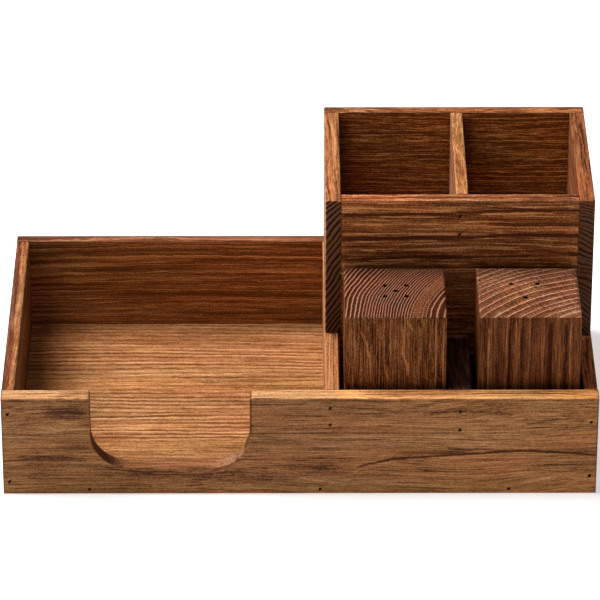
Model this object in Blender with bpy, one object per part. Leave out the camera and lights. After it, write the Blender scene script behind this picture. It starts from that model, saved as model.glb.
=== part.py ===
"""Wooden table organiser: an open napkin tray, a tall cutlery box and a pair of shakers.

Thin boards butt against each other, held by glue and set brads. The napkin tray takes the left
half of the base. A cutlery box with two compartments stands on the base walls at the right rear,
and two bored wooden shakers stand loose in the pockets in front of it.

Sizes are in metres. X runs to the right, Y to the rear and Z up. The origin lies under the middle
of the base, on the surface that the organiser stands on.
"""

import math

import bmesh
import bpy
from mathutils import Matrix, Vector

# Shakers
SHAKER_SIDE = 0.058
SHAKER_HEIGHT = 0.102
SHAKER_EDGE = 0.0011
CHAMBER_RADIUS = 0.018
SHAKER_TOP = 0.012
POURING_RADIUS = 0.00125
SALT_MARGIN = 0.0092
SALT_RING_SHIFT = (0.0005, 0.0017)
PEPPER_MARGIN = 0.0082
PEPPER_REAR_ANGLE = 39.5
PEPPER_RING_SHIFT = (-0.0019, 0.0036)

# Base, from left to right; a pocket is its shaker's side and some play
LEFT_WALL = 0.0075
TRAY_WIDTH = 0.177
DIVIDER = 0.008
SALT_PLAY = 0.004
SPACER = 0.0135
PEPPER_PLAY = 0.006
RIGHT_WALL = 0.008

# Base, from front to rear
FRONT_BOARD = 0.0095
TRAY_DEPTH = 0.1775
REAR_BOARD = 0.008
DEPTH_PLAY = 0.0075

# Base, upwards
BASE_HEIGHT = 0.0635
FLOOR = 0.0065
RIGHT_WALL_DROP = 0.002
SPACER_DROP = 0.001

# Finger notch in the front board, above a sill; its corners take up no more than a share of the
# notch's depth or of half its width
NOTCH_WIDTH = 0.091
NOTCH_SILL = 0.0175
NOTCH_RADIUS = 0.022
NOTCH_LIP_RADIUS = 0.0015
NOTCH_CORNER_SHARE = 0.9

# Cutlery box, whose side walls stand on the base walls
BOX_RISE = 0.087
BOX_INSET = 0.0005
BOX_OVERHANG = 0.0013
BOX_FRONT = 0.0084
MID_DIVIDER = 0.007
MID_DIVIDER_SHIFT = 0.0013

# Where each shaker stands in its pocket, to the right of the middle
SALT_SHIFT = 0.0009
PEPPER_SHIFT = 0.0006

# Stopper in the mouth of each shaker
STOPPER_LEDGE = 0.0035
STOPPER_SEAT_DEPTH = 0.004
STOPPER_FLANGE = 0.0022
STOPPER_PLUG = 0.009
STOPPER_TAPER = 0.0006
STOPPER_BEAD = 0.0004
STOPPER_BEAD_HEIGHT = 0.0022
STOPPER_WALL = 0.0035
STOPPER_ROOF = 0.002
PULL_BAR_WIDTH = 0.004
PULL_BAR_BITE = 0.001
PULL_BAR_INSET = 0.00022

# Brads
BRAD_LENGTH = 0.024
BRAD_RADIUS = 0.00065
BRAD_HEAD_RADIUS = 0.00085
BRAD_HEAD_HEIGHT = 0.001
BRAD_POINT = 0.002
BRAD_SET = 0.0005

# Brad places: drops from the top of the piece that is nailed, rises from its underside,
# insets from its ends and shifts from its middle
WALL_BRAD_DROP = 0.0105
WALL_BRAD_RISE = 0.0083
DIVIDER_BRAD_DROPS = (0.0065, 0.0175)
DIVIDER_BRAD_SHIFT = -0.0012
SPACER_BRAD_DROPS = (0.008, 0.020)
RIGHT_BRAD_DROP = 0.014
RIGHT_BRAD_RISE = 0.012
FLOOR_BRAD_INSET = 0.042
FLOOR_BRAD_SHIFT = 0.012
BOX_BRAD_DROPS = (0.0102, 0.0222)
BOX_BRAD_SHIFT = -0.0015
BOX_SIDE_BRAD_DROP = 0.015
BOX_SIDE_BRAD_RISE = 0.018

# Clearances, rounding and cutters
GLUE_LINE = 0.0002
REST_GAP = 0.0003
BRAD_CLEARANCE = 0.00015
STOPPER_CLEARANCE = 0.0003
EDGE_RADIUS = 0.0008
CUTTER_OVERSHOOT = 0.001

# Facets
EDGE_SEGMENTS = 2
NOTCH_SEGMENTS = 10
LIP_SEGMENTS = 3
BORE_SEGMENTS = 40
POURING_SEGMENTS = 12
BRAD_SEGMENTS = 8
SHARP_ANGLE = math.radians(35)
SAME_POINT = 1e-6

# Stations of the base
SALT_POCKET_WIDTH = SHAKER_SIDE + SALT_PLAY
PEPPER_POCKET_WIDTH = SHAKER_SIDE + PEPPER_PLAY
POCKET_DEPTH = SHAKER_SIDE + DEPTH_PLAY
WIDTH = (LEFT_WALL + TRAY_WIDTH + DIVIDER + SALT_POCKET_WIDTH + SPACER
         + PEPPER_POCKET_WIDTH + RIGHT_WALL)
DEPTH = FRONT_BOARD + TRAY_DEPTH + REAR_BOARD
LEFT_FACE = -WIDTH / 2
RIGHT_FACE = WIDTH / 2
FRONT_FACE = -DEPTH / 2
REAR_FACE = DEPTH / 2
TRAY_LEFT = LEFT_FACE + LEFT_WALL
TRAY_RIGHT = TRAY_LEFT + TRAY_WIDTH
SALT_LEFT = TRAY_RIGHT + DIVIDER
SALT_RIGHT = SALT_LEFT + SALT_POCKET_WIDTH
PEPPER_LEFT = SALT_RIGHT + SPACER
PEPPER_RIGHT = PEPPER_LEFT + PEPPER_POCKET_WIDTH
INNER_FRONT = FRONT_FACE + FRONT_BOARD
INNER_REAR = REAR_FACE - REAR_BOARD
ON_FLOOR = FLOOR + GLUE_LINE
RIGHT_WALL_TOP = BASE_HEIGHT - RIGHT_WALL_DROP
SPACER_TOP = BASE_HEIGHT - SPACER_DROP

# Stations of the cutlery box
BOX_LEFT = TRAY_RIGHT + BOX_INSET
BOX_RIGHT = RIGHT_FACE - BOX_INSET
BOX_INNER_LEFT = SALT_LEFT + BOX_OVERHANG
BOX_INNER_RIGHT = PEPPER_RIGHT - BOX_OVERHANG
BOX_FACE = INNER_FRONT + POCKET_DEPTH
BOX_INNER_FRONT = BOX_FACE + BOX_FRONT
BOX_TOP = BASE_HEIGHT + BOX_RISE
MID_CENTRE = (BOX_INNER_LEFT + BOX_INNER_RIGHT) / 2 + MID_DIVIDER_SHIFT

# Stations of the shakers
SHAKER_Y = INNER_FRONT + POCKET_DEPTH / 2
SHAKER_FOOT = FLOOR + REST_GAP
SALT_X = (SALT_LEFT + SALT_RIGHT) / 2 + SALT_SHIFT
PEPPER_X = (PEPPER_LEFT + PEPPER_RIGHT) / 2 + PEPPER_SHIFT

# Finishes: linear colour, roughness and metallic value
FLOOR_OAK = ((0.47, 0.20, 0.075), 0.5, 0.0)
FRONT_OAK = ((0.30, 0.13, 0.055), 0.5, 0.0)
RED_OAK = ((0.24, 0.085, 0.028), 0.5, 0.0)
DARK_OAK = ((0.17, 0.060, 0.022), 0.5, 0.0)
SHAKER_OAK = ((0.22, 0.078, 0.032), 0.5, 0.0)
DARK_STEEL = ((0.03, 0.025, 0.022), 0.45, 1.0)
BLACK_RUBBER = ((0.02, 0.02, 0.02), 0.7, 0.0)

# Outward directions of a board's faces
FACES = {
    "left": (-1, 0, 0),
    "right": (1, 0, 0),
    "front": (0, -1, 0),
    "rear": (0, 1, 0),
    "bottom": (0, 0, -1),
    "top": (0, 0, 1),
}


def clear_scene():
    for old in list(bpy.data.objects):
        bpy.data.objects.remove(old, do_unlink=True)


def make_material(name, finish):
    colour, roughness, metallic = finish
    material = bpy.data.materials.new(name)
    material.use_nodes = True
    surface = material.node_tree.nodes["Principled BSDF"]
    surface.inputs["Base Color"].default_value = (*colour, 1.0)
    surface.inputs["Roughness"].default_value = roughness
    surface.inputs["Metallic"].default_value = metallic
    material.diffuse_color = (*colour, 1.0)
    return material


def make_object(name, bm, location, finish=None, parent=None):
    """Turn the bmesh into an object whose own centre is at the location."""
    bmesh.ops.recalc_face_normals(bm, faces=bm.faces)
    mesh = bpy.data.meshes.new(name)
    bm.to_mesh(mesh)
    bm.free()
    obj = bpy.data.objects.new(name, mesh)
    obj.location = location
    obj.parent = parent
    bpy.context.scene.collection.objects.link(obj)
    if finish:
        mesh.materials.append(make_material(name, finish))
    return obj


def make_empty(name, location, parent=None):
    empty = bpy.data.objects.new(name, None)
    empty.location = location
    empty.parent = parent
    bpy.context.scene.collection.objects.link(empty)
    return empty


def round_edges(bm, edges, radius, segments):
    bmesh.ops.bevel(bm, geom=edges, offset=radius, segments=segments, profile=0.5,
                    affect="EDGES", material=-1)


def edges_between(bm, pairs):
    """The edges where the two faces of a pair meet, such as ("front", "top")."""
    bm.normal_update()
    wanted = [{FACES[one], FACES[other]} for one, other in pairs]
    found = []
    for edge in bm.edges:
        sides = {tuple(round(part) for part in face.normal) for face in edge.link_faces}
        if sides in wanted:
            found.append(edge)
    return found


def block_mesh(size, eased, radius):
    """A rectangular block about its own centre, with the eased edges rounded."""
    bm = bmesh.new()
    bmesh.ops.create_cube(bm, size=1.0)
    bmesh.ops.scale(bm, vec=size, verts=bm.verts)
    if eased:
        round_edges(bm, edges_between(bm, eased), radius, EDGE_SEGMENTS)
    return bm


def board(name, x, y, z, finish, parent, eased):
    """A board between two stations along each axis."""
    size = [high - low for low, high in (x, y, z)]
    centre = [(low + high) / 2 for low, high in (x, y, z)]
    return make_object(name, block_mesh(size, eased, EDGE_RADIUS), centre, finish, parent)


def turned_mesh(profile, segments):
    """A solid of revolution about Z. The profile holds (radius, height) from axis to axis."""
    bm = bmesh.new()
    line = [bm.verts.new((radius, 0.0, height)) for radius, height in profile]
    edges = [bm.edges.new(pair) for pair in zip(line, line[1:])]
    bmesh.ops.spin(bm, geom=line + edges, axis=(0, 0, 1), cent=(0, 0, 0), angle=math.tau,
                   steps=segments)
    bmesh.ops.remove_doubles(bm, verts=bm.verts, dist=SAME_POINT)
    return bm


def smooth_round_faces(mesh):
    mesh.shade_smooth()
    mesh.set_sharp_from_angle(angle=SHARP_ANGLE)


def together(shapes_and_places):
    """One bmesh that holds several shapes, each moved to its place by a matrix."""
    whole = bmesh.new()
    for bm, matrix in shapes_and_places:
        bmesh.ops.transform(bm, matrix=matrix, verts=bm.verts)
        bmesh.ops.recalc_face_normals(bm, faces=bm.faces)
        mesh = bpy.data.meshes.new("shape")
        bm.to_mesh(mesh)
        bm.free()
        whole.from_mesh(mesh)
        bpy.data.meshes.remove(mesh)
    return whole


def boolean(obj, operation, tool_mesh, location):
    """Join the tool's shape to the object, or take it out of it."""
    tool = make_object(f"{obj.name}_{operation.lower()}", tool_mesh, location)
    tool.hide_render = True
    tool.display_type = "WIRE"
    modifier = obj.modifiers.new(operation.lower(), "BOOLEAN")
    modifier.operation = operation
    modifier.solver = "EXACT"
    modifier.object = tool


def notch_sides():
    middle = (TRAY_LEFT + TRAY_RIGHT) / 2
    return middle - NOTCH_WIDTH / 2, middle + NOTCH_WIDTH / 2


def edges_through(bm, stations, height):
    """The edges that run from front to rear at a height, at one of the X stations."""
    found = []
    for edge in bm.edges:
        one, other = (vert.co for vert in edge.verts)
        runs_through = abs(one.y - other.y) > FRONT_BOARD / 2
        at_height = abs(one.z - height) < EDGE_RADIUS
        at_station = any(abs(one.x - station) < EDGE_RADIUS for station in stations)
        if runs_through and at_height and at_station:
            found.append(edge)
    return found


def front_board(parent):
    """The front board: its outline with the finger notch, pushed back to the thickness."""
    notch_left, notch_right = notch_sides()
    outline = [
        (LEFT_FACE, 0.0),
        (RIGHT_FACE, 0.0),
        (RIGHT_FACE, BASE_HEIGHT),
        (notch_right, BASE_HEIGHT),
        (notch_right, NOTCH_SILL),
        (notch_left, NOTCH_SILL),
        (notch_left, BASE_HEIGHT),
        (LEFT_FACE, BASE_HEIGHT),
    ]
    bm = bmesh.new()
    face = bm.faces.new([bm.verts.new((x, -FRONT_BOARD / 2, z)) for x, z in outline])
    pushed = bmesh.ops.extrude_face_region(bm, geom=[face])["geom"]
    rear_verts = [item for item in pushed if isinstance(item, bmesh.types.BMVert)]
    bmesh.ops.translate(bm, vec=(0, FRONT_BOARD, 0), verts=rear_verts)
    bmesh.ops.recalc_face_normals(bm, faces=bm.faces)

    sides = (notch_left, notch_right)
    depth = BASE_HEIGHT - NOTCH_SILL - NOTCH_LIP_RADIUS
    corner = min(NOTCH_RADIUS, NOTCH_CORNER_SHARE * min(depth, NOTCH_WIDTH / 2))
    round_edges(bm, edges_through(bm, sides, NOTCH_SILL), corner, NOTCH_SEGMENTS)
    round_edges(bm, edges_through(bm, sides, BASE_HEIGHT), NOTCH_LIP_RADIUS, LIP_SEGMENTS)
    bm.normal_update()
    front_rim = [edge for edge in bm.edges
                 if {round(face.normal.y) for face in edge.link_faces} == {-1, 0}]
    round_edges(bm, front_rim, EDGE_RADIUS, EDGE_SEGMENTS)
    centre = (0, FRONT_FACE + FRONT_BOARD / 2, 0)
    return make_object("front_board", bm, centre, FRONT_OAK, parent)


def build_base(parent):
    """The boards of the base, by name."""
    between_boards = (INNER_FRONT + GLUE_LINE, INNER_REAR - GLUE_LINE)
    between_walls = (TRAY_LEFT + GLUE_LINE, PEPPER_RIGHT - GLUE_LINE)
    ahead_of_box = (INNER_FRONT + GLUE_LINE, BOX_FACE - GLUE_LINE)
    both_tops = [("left", "top"), ("right", "top")]
    boards = [
        front_board(parent),
        board("rear_board", (LEFT_FACE, RIGHT_FACE), (INNER_REAR, REAR_FACE), (0.0, BASE_HEIGHT),
              RED_OAK, parent,
              [("rear", "top"), ("rear", "left"), ("rear", "right"), ("rear", "bottom")]),
        board("left_wall", (LEFT_FACE, TRAY_LEFT), between_boards, (0.0, BASE_HEIGHT),
              RED_OAK, parent, both_tops + [("left", "bottom")]),
        board("right_wall", (PEPPER_RIGHT, RIGHT_FACE), between_boards, (0.0, RIGHT_WALL_TOP),
              DARK_OAK, parent, both_tops + [("right", "bottom")]),
        board("tray_floor", between_walls, between_boards, (0.0, FLOOR), FLOOR_OAK, parent, []),
        board("tray_divider", (TRAY_RIGHT, SALT_LEFT), between_boards, (ON_FLOOR, BASE_HEIGHT),
              RED_OAK, parent, both_tops),
        board("pocket_spacer", (SALT_RIGHT, PEPPER_LEFT), ahead_of_box, (ON_FLOOR, SPACER_TOP),
              DARK_OAK, parent, both_tops),
    ]
    return {piece.name: piece for piece in boards}


def build_cutlery_box(parent):
    """The boards of the cutlery box, by name."""
    behind_face = (BOX_FACE, INNER_REAR - GLUE_LINE)
    inside = (BOX_INNER_FRONT + GLUE_LINE, INNER_REAR - GLUE_LINE)
    between_sides = (BOX_INNER_LEFT + GLUE_LINE, BOX_INNER_RIGHT - GLUE_LINE)
    around_middle = (MID_CENTRE - MID_DIVIDER / 2, MID_CENTRE + MID_DIVIDER / 2)
    both_tops = [("left", "top"), ("right", "top")]
    boards = [
        board("box_left_wall", (BOX_LEFT, BOX_INNER_LEFT), behind_face,
              (BASE_HEIGHT + GLUE_LINE, BOX_TOP), DARK_OAK, parent,
              both_tops + [("left", "front"), ("front", "top")]),
        board("box_right_wall", (BOX_INNER_RIGHT, BOX_RIGHT), behind_face,
              (RIGHT_WALL_TOP + GLUE_LINE, BOX_TOP), DARK_OAK, parent,
              both_tops + [("right", "front"), ("front", "top")]),
        board("box_front_board", between_sides, (BOX_FACE, BOX_INNER_FRONT), (ON_FLOOR, BOX_TOP),
              RED_OAK, parent, [("front", "top"), ("rear", "top")]),
        board("box_rear_board", (BOX_LEFT, BOX_RIGHT), (INNER_REAR, REAR_FACE),
              (BASE_HEIGHT + GLUE_LINE, BOX_TOP), RED_OAK, parent,
              both_tops + [("rear", "top"), ("rear", "left"), ("rear", "right")]),
        board("box_mid_divider", around_middle, inside, (ON_FLOOR, BOX_TOP),
              RED_OAK, parent, both_tops),
    ]
    return {piece.name: piece for piece in boards}


def brad_mesh(clearance=0.0, overshoot=0.0):
    """A headed brad along +Z with its head's top at the origin, or the hole that it sits in."""
    shank = BRAD_RADIUS + clearance
    head = BRAD_HEAD_RADIUS + clearance
    under_head = -BRAD_HEAD_HEIGHT - clearance
    tip = -BRAD_LENGTH - clearance
    profile = [(0.0, tip), (shank, tip + BRAD_POINT), (shank, under_head), (head, under_head),
               (head, overshoot), (0.0, overshoot)]
    return turned_mesh(profile, BRAD_SEGMENTS)


def base_brads(side, face_y):
    """Brads through the front or rear board into the walls, the divider and the floor."""
    through = f"{side}_board"
    left_x = (LEFT_FACE + TRAY_LEFT) / 2
    divider_x = (TRAY_RIGHT + SALT_LEFT) / 2 + DIVIDER_BRAD_SHIFT
    right_x = (PEPPER_RIGHT + RIGHT_FACE) / 2
    places = [("left_wall", left_x, BASE_HEIGHT - WALL_BRAD_DROP),
              ("left_wall", left_x, WALL_BRAD_RISE),
              ("right_wall", right_x, RIGHT_WALL_TOP - RIGHT_BRAD_DROP),
              ("right_wall", right_x, RIGHT_BRAD_RISE)]
    places += [("tray_divider", divider_x, BASE_HEIGHT - drop) for drop in DIVIDER_BRAD_DROPS]
    floor_xs = (TRAY_LEFT + FLOOR_BRAD_INSET, (TRAY_LEFT + PEPPER_RIGHT) / 2 + FLOOR_BRAD_SHIFT,
                PEPPER_RIGHT - FLOOR_BRAD_INSET)
    places += [("tray_floor", x, FLOOR / 2) for x in floor_xs]
    return [(side, through, into, (x, face_y, z)) for into, x, z in places]


def spacer_brads():
    x = (SALT_RIGHT + PEPPER_LEFT) / 2
    return [("front", "front_board", "pocket_spacer", (x, FRONT_FACE, SPACER_TOP - drop))
            for drop in SPACER_BRAD_DROPS]


def box_brads():
    """Brads that hold the cutlery box together, from its front, its rear and its sides."""
    brads = []
    middle = MID_CENTRE + BOX_BRAD_SHIFT
    for drop in BOX_BRAD_DROPS:
        z = BOX_TOP - drop
        brads.append(("front", "box_front_board", "box_mid_divider", (middle, BOX_FACE, z)))
        brads.append(("rear", "box_rear_board", "box_mid_divider", (middle, REAR_FACE, z)))
    front_y = (BOX_FACE + BOX_INNER_FRONT) / 2
    left_x = (BOX_LEFT + BOX_INNER_LEFT) / 2
    right_x = (BOX_RIGHT + BOX_INNER_RIGHT) / 2
    for z in (BOX_TOP - BOX_SIDE_BRAD_DROP, BASE_HEIGHT + BOX_SIDE_BRAD_RISE):
        brads.append(("rear", "box_rear_board", "box_left_wall", (left_x, REAR_FACE, z)))
        brads.append(("rear", "box_rear_board", "box_right_wall", (right_x, REAR_FACE, z)))
        brads.append(("left", "box_left_wall", "box_front_board", (BOX_LEFT, front_y, z)))
        brads.append(("right", "box_right_wall", "box_front_board", (BOX_RIGHT, front_y, z)))
    return brads


def build_brads(boards, parent):
    """Every brad, its head set below the surface, and its hole in the two boards it joins."""
    brads = (base_brads("front", FRONT_FACE) + base_brads("rear", REAR_FACE)
             + spacer_brads() + box_brads())
    shared = bpy.data.meshes.new("brad")
    brad_shape = brad_mesh()
    bmesh.ops.recalc_face_normals(brad_shape, faces=brad_shape.faces)
    brad_shape.to_mesh(shared)
    brad_shape.free()
    smooth_round_faces(shared)
    shared.materials.append(make_material("brad", DARK_STEEL))

    holes = {name: [] for name in boards}
    counts = {}
    for side, through, into, entry in brads:
        outward = Vector(FACES[side])
        head_top = Vector(entry) - outward * BRAD_SET
        turn = outward.to_track_quat("Z", "Y")
        counts[side, into] = counts.get((side, into), 0) + 1
        brad = bpy.data.objects.new(f"brad_{side}_{into}_{counts[side, into]}", shared)
        brad.location = head_top
        brad.rotation_mode = "QUATERNION"
        brad.rotation_quaternion = turn
        brad.parent = parent
        bpy.context.scene.collection.objects.link(brad)
        for name in (through, into):
            place = Matrix.LocRotScale(head_top - boards[name].location, turn, None)
            hole = brad_mesh(BRAD_CLEARANCE, BRAD_SET + CUTTER_OVERSHOOT)
            holes[name].append((hole, place))
    for name, shapes in holes.items():
        boolean(boards[name], "DIFFERENCE", together(shapes), boards[name].location)


def on_ring(radius, shift, degrees):
    """Points on a circle about a shifted centre, at angles counted from +X towards the rear."""
    return [(shift[0] + radius * math.cos(math.radians(angle)),
             shift[1] + radius * math.sin(math.radians(angle))) for angle in degrees]


def salt_holes():
    """Four pouring holes at the corners of a square, and one in its middle."""
    corners = on_ring(CHAMBER_RADIUS - SALT_MARGIN, SALT_RING_SHIFT, (45, 135, 225, 315))
    return corners + [SALT_RING_SHIFT]


def pepper_holes():
    """Two pouring holes at the rear and one in front of them."""
    angles = (PEPPER_REAR_ANGLE, 180 - PEPPER_REAR_ANGLE, 270)
    return on_ring(CHAMBER_RADIUS - PEPPER_MARGIN, PEPPER_RING_SHIFT, angles)


def hollow_mesh():
    """The chamber of a shaker standing at the origin, with the stopper's seat at its mouth."""
    seat = CHAMBER_RADIUS + STOPPER_LEDGE
    top = SHAKER_HEIGHT - SHAKER_TOP
    profile = [(0.0, -CUTTER_OVERSHOOT), (seat, -CUTTER_OVERSHOOT), (seat, STOPPER_SEAT_DEPTH),
               (CHAMBER_RADIUS, STOPPER_SEAT_DEPTH), (CHAMBER_RADIUS, top), (0.0, top)]
    return turned_mesh(profile, BORE_SEGMENTS)


def pouring_mesh(holes):
    low = SHAKER_HEIGHT - SHAKER_TOP - CUTTER_OVERSHOOT
    high = SHAKER_HEIGHT + CUTTER_OVERSHOOT
    profile = [(0.0, low), (POURING_RADIUS, low), (POURING_RADIUS, high), (0.0, high)]
    return together([(turned_mesh(profile, POURING_SEGMENTS), Matrix.Translation((x, y, 0.0)))
                     for x, y in holes])


def stopper_mesh():
    """A flanged plug with a sealing bead, hollow from below, for a shaker at the origin."""
    bead = CHAMBER_RADIUS - STOPPER_CLEARANCE
    plug = bead - STOPPER_BEAD
    flange = CHAMBER_RADIUS + STOPPER_LEDGE - STOPPER_CLEARANCE
    hollow = plug - STOPPER_WALL
    flange_top = STOPPER_SEAT_DEPTH - STOPPER_CLEARANCE
    flange_foot = flange_top - STOPPER_FLANGE
    plug_top = STOPPER_SEAT_DEPTH + STOPPER_PLUG
    bead_z = (STOPPER_SEAT_DEPTH + plug_top) / 2
    profile = [(0.0, plug_top - STOPPER_ROOF), (hollow, plug_top - STOPPER_ROOF),
               (hollow, flange_foot), (flange, flange_foot), (flange, flange_top),
               (plug, flange_top), (plug, bead_z - STOPPER_BEAD_HEIGHT / 2), (bead, bead_z),
               (plug, bead_z + STOPPER_BEAD_HEIGHT / 2), (plug - STOPPER_TAPER, plug_top),
               (0.0, plug_top)]
    return turned_mesh(profile, BORE_SEGMENTS)


def pull_bar_mesh():
    """The bar across the stopper's hollow, set in from both faces of its flange."""
    hollow = CHAMBER_RADIUS - STOPPER_CLEARANCE - STOPPER_BEAD - STOPPER_WALL
    height = STOPPER_FLANGE - 2 * PULL_BAR_INSET
    foot = STOPPER_SEAT_DEPTH - STOPPER_CLEARANCE - STOPPER_FLANGE + PULL_BAR_INSET
    bm = block_mesh((2 * (hollow + PULL_BAR_BITE), PULL_BAR_WIDTH, height), [], 0.0)
    bmesh.ops.translate(bm, vec=(0, 0, foot + height / 2), verts=bm.verts)
    return bm


def build_shaker(name, x, holes, parent):
    """A square block, bored from below and drilled from above, and its stopper."""
    group = make_empty(name, (x, SHAKER_Y, SHAKER_FOOT), parent)
    all_edges = [(one, other) for one in FACES for other in FACES]
    block = block_mesh((SHAKER_SIDE, SHAKER_SIDE, SHAKER_HEIGHT), all_edges, SHAKER_EDGE)
    bmesh.ops.translate(block, vec=(0, 0, SHAKER_HEIGHT / 2), verts=block.verts)
    body = make_object(f"{name}_body", block, (0, 0, 0), SHAKER_OAK, group)
    boolean(body, "DIFFERENCE", hollow_mesh(), group.location)
    boolean(body, "DIFFERENCE", pouring_mesh(holes), group.location)
    stopper = make_object(f"{name}_stopper", stopper_mesh(), (0, 0, 0), BLACK_RUBBER, group)
    smooth_round_faces(stopper.data)
    boolean(stopper, "UNION", pull_bar_mesh(), group.location)


def build():
    clear_scene()
    organiser = make_empty("organiser", (0, 0, 0))
    boards = build_base(organiser)
    boards.update(build_cutlery_box(organiser))
    build_brads(boards, organiser)
    build_shaker("salt_shaker", SALT_X, salt_holes(), organiser)
    build_shaker("pepper_shaker", PEPPER_X, pepper_holes(), organiser)


build()
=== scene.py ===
"""A wooden table caddy: a napkin tray, two square shakers in their pockets and a box for cutlery.

The boards, brads, shaker blocks and stoppers come from the frame. Here each board gets its own cut
of oak, because no two boards of the real caddy come from the same part of the tree.
"""

import math
from typing import NamedTuple

import bpy
from mathutils import Matrix, Vector


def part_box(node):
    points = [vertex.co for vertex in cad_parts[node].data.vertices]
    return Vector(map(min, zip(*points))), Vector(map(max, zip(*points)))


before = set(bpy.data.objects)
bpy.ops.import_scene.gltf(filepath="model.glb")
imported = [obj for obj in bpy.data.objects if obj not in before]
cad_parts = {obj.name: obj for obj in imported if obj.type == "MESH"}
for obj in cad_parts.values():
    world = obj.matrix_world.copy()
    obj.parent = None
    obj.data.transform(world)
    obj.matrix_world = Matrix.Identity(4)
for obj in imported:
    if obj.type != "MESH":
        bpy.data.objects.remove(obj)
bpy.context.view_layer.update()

# Camera
CAMERA_PLACE = (-0.01003, -2.30974, 1.36320)
CAMERA_LENS = 271.3
CAMERA_SENSOR = 36.0
CAMERA_PITCH = math.radians(29.187)
CAMERA_YAW = math.radians(0.2604)
CAMERA_ROLL = math.radians(0.0676)
CAMERA_FAR = 40.0

# Studio. A lamp has its place, the point that it faces, its size and its power.
FLOOR_SIDE = 16.0
FLOOR_WHITE = (0.86, 0.86, 0.855)
FLOOR_TOOTH = 0.985
FLOOR_ROUGHNESS = 0.9
FLOOR_GLOSS = 0.1
FLOOR_GLOW = 0.60
ROOM_WHITE = (1.0, 1.0, 1.0)
ROOM_LIGHT = 0.16
OVERHEAD = ((-0.95, 0.28, 1.55), (0.0, 0.0, 0.05), (1.2, 1.3), 58.0)
FILL = ((-0.3, -2.2, 1.0), (0.0, 0.0, 0.06), (1.4, 0.9), 1.5)

# Oiled oak. Its tone runs from 0, dark, to 1, light, with three more colours on the way.
UNCHANGED = (1.0, 1.0, 1.0)
MIDDLE_TONE = 0.5
DARKER_TONE = 0.30
LIGHTER_TONE = 0.72
DARKER = (0.66, 0.60, 0.54)
LIGHTER = (1.30, 1.42, 1.55)
OIL_ROUGHNESS = 0.55
ROUGHNESS_SWING = 0.40
OIL_GLOSS = 0.08
DRY_GLOSS = 0.03
GRAIN_DEPTH = 0.00035
GRAIN_RELIEF = 0.35
PORE_DEPTH = 0.4
STREAK_SHAKE = 2.4
MOST_SHAKE = 0.0030

# Layers of a noise: how many finer ones it has, and how strong each is against the one before
PLAIN = (1.0, 0.5)
SOFT = (2.0, 0.5)
CRISP = (2.0, 0.6)
WEAR_AND_HIGHLIGHT_LAYERS = (2.0, 0.7)
DUSTY = (3.0, 0.5)
COARSE = (3.0, 0.6)
RAGGED = (3.0, 0.65)
JAGGED = (3.0, 0.7)

# How often each pattern changes in a metre: along the grain, and across it both ways
WANDER_PATTERN = (7.0, 30.0, 30.0)
SHIVER_PATTERN = (120.0, 240.0, 240.0)
SHAKE_PATTERN = (60.0, 300.0, 300.0)
WARM_PATTERN = (9.0, 60.0, 60.0)
RAGGED_PATTERN = (160.0, 160.0, 160.0)
WEAR_AND_HIGHLIGHT_PATTERN = (170.0, 170.0, 170.0)

# The same along the grain, for the patterns that a board or its rings set across it
VEIN_RUN = 11.0
STRAND_RUN = 6.0
THREAD_RUN = 6.0
GLINT_RUN = 9.0
FIBRE_RUN = 16.0
HAIR_RUN = 75.0
PORE_RUN = 140.0
GRIT_RUN = 900.0
CLOUD_RUN = 6.0

# How often the lines that follow the rings change: from one ring to the next, and in a metre across
VEIN_ACROSS = (0.9, 1.0)
STRAND_ACROSS = (1.7, 35.0)
THREAD_ACROSS = (1.3, 30.0)

# How often the rays change: in a radian about the pith, in a metre out from it, and along the grain
RAY_PATTERN = (160.0, 90.0, 30.0)

# Hair lines, specks and pores are finer than the fibres by this
HAIR_FINENESS = 2.6

# Between which values of its noise a pattern comes up
MOST_OF_IT = (0.3, 0.7)
VEIN_COMES = (0.32, 0.55)
PORE_OPENS = (0.58, 0.72)
WARMTH_COMES = (0.35, 0.65)

# Thin lines: how wide they are in their noise, and how much paler the wood between them is
THREAD_WIDTH = 0.07
THREAD_PALER = 0.15

# Noise stays near its middle, so these bring its swings up to the size that a board asks for
BEND_SWING = 3.0
DRIFT_SWING = 4.0
RAGGED_SWING = 4.0

# Rings: how fast their width drifts, the mean of a vein, and where the slow band lies
DRIFT_PACE = 0.23
VEIN_MEAN = 0.3
BAND_SHIFT = 0.12
BAND_LEAD = 0.2
BAND_COMES = (0.05, 0.45)

# Height of a curve whose points are level
LEAST_RISE = 1e-6

# Steps between the random patterns of one board and those of the next
SHIFT_STEP = (3.17, 1.31, 2.23)
DRIFT_STEP = 0.7
VEIN_STEP = 9.1

# Edges of the boards, as depths under their surfaces
SAWN_SKIN = (0.0003, 0.0008)
END_SKIN = (0.0001, 0.0007)
# Corners are lightened for wear and as a painted highlight, this deep and with this waver
WEAR_AND_HIGHLIGHT_REACH = 0.0007
WEAR_AND_HIGHLIGHT_WAVER = 0.0014

# Pouring holes, and the splits at the brads' heads
FAR_OFF = 10.0
HOLE_RADIUS = 0.00125
HOLE_RIM = 0.0004
HOLE_SHADE = (0.12, 0.12, 0.12)
HEAD_DEPTH = 0.0015
BRUISE_WIDTH = 0.0006
BRUISE_HEIGHT = 0.0015
BRUISE_SLANT = 0.5
BRUISE_WAVER = 1.6
BRUISE_REACH = (0.6, 1.2)
BRUISE_SHADE = (0.14, 0.09, 0.07)

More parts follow.
